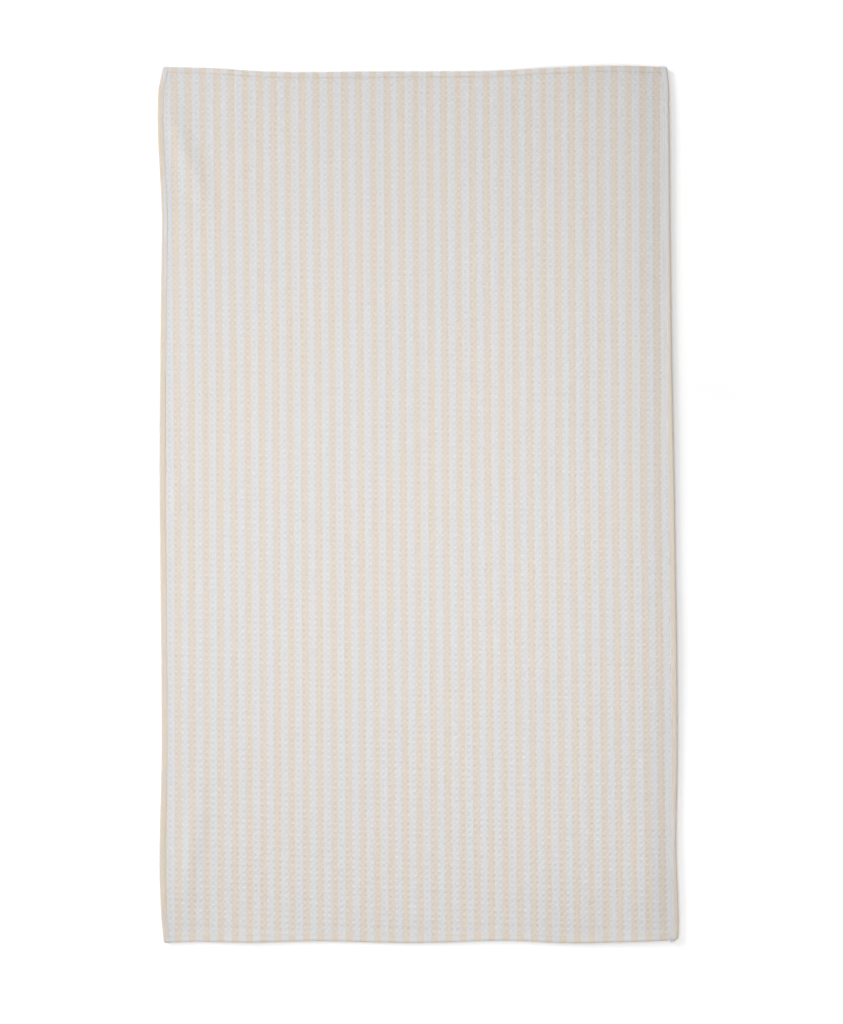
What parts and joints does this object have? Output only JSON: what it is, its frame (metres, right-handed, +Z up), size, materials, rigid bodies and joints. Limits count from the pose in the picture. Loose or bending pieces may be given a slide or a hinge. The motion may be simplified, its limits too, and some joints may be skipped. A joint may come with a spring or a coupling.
{
  "type": "golf towel",
  "caption": "Flat rectangular waffle-weave towel with printed lengthwise stripes and a turned, stitched hem on every edge.",
  "frame": {"origin": "middle of the underside, on the surface that the towel lies on", "axes": "+Z up out of the printed face, +Y along the towel and its stripes, +X across it"},
  "size_m": [0.411, 0.6909, 0.0027],
  "materials": {
    "waffle_cloth": "matt microfibre waffle weave, white with printed beige stripes along its length",
    "hem_cloth": "the same cloth turned twice and pressed smooth",
    "needle_thread": "spun polyester sewing thread, off-white",
    "bobbin_thread": "spun polyester sewing thread, white"
  },
  "bodies": {
    "root": {"panel": "waffle_cloth", "top_hem": "hem_cloth", "bottom_hem": "hem_cloth", "left_hem": "hem_cloth", "right_hem": "hem_cloth", "top_needle_thread": "needle_thread", "bottom_needle_thread": "needle_thread", "left_needle_thread": "needle_thread", "right_needle_thread": "needle_thread", "top_bobbin_thread": "bobbin_thread", "bottom_bobbin_thread": "bobbin_thread", "left_bobbin_thread": "bobbin_thread", "right_bobbin_thread": "bobbin_thread"}
  },
  "joints": []
}
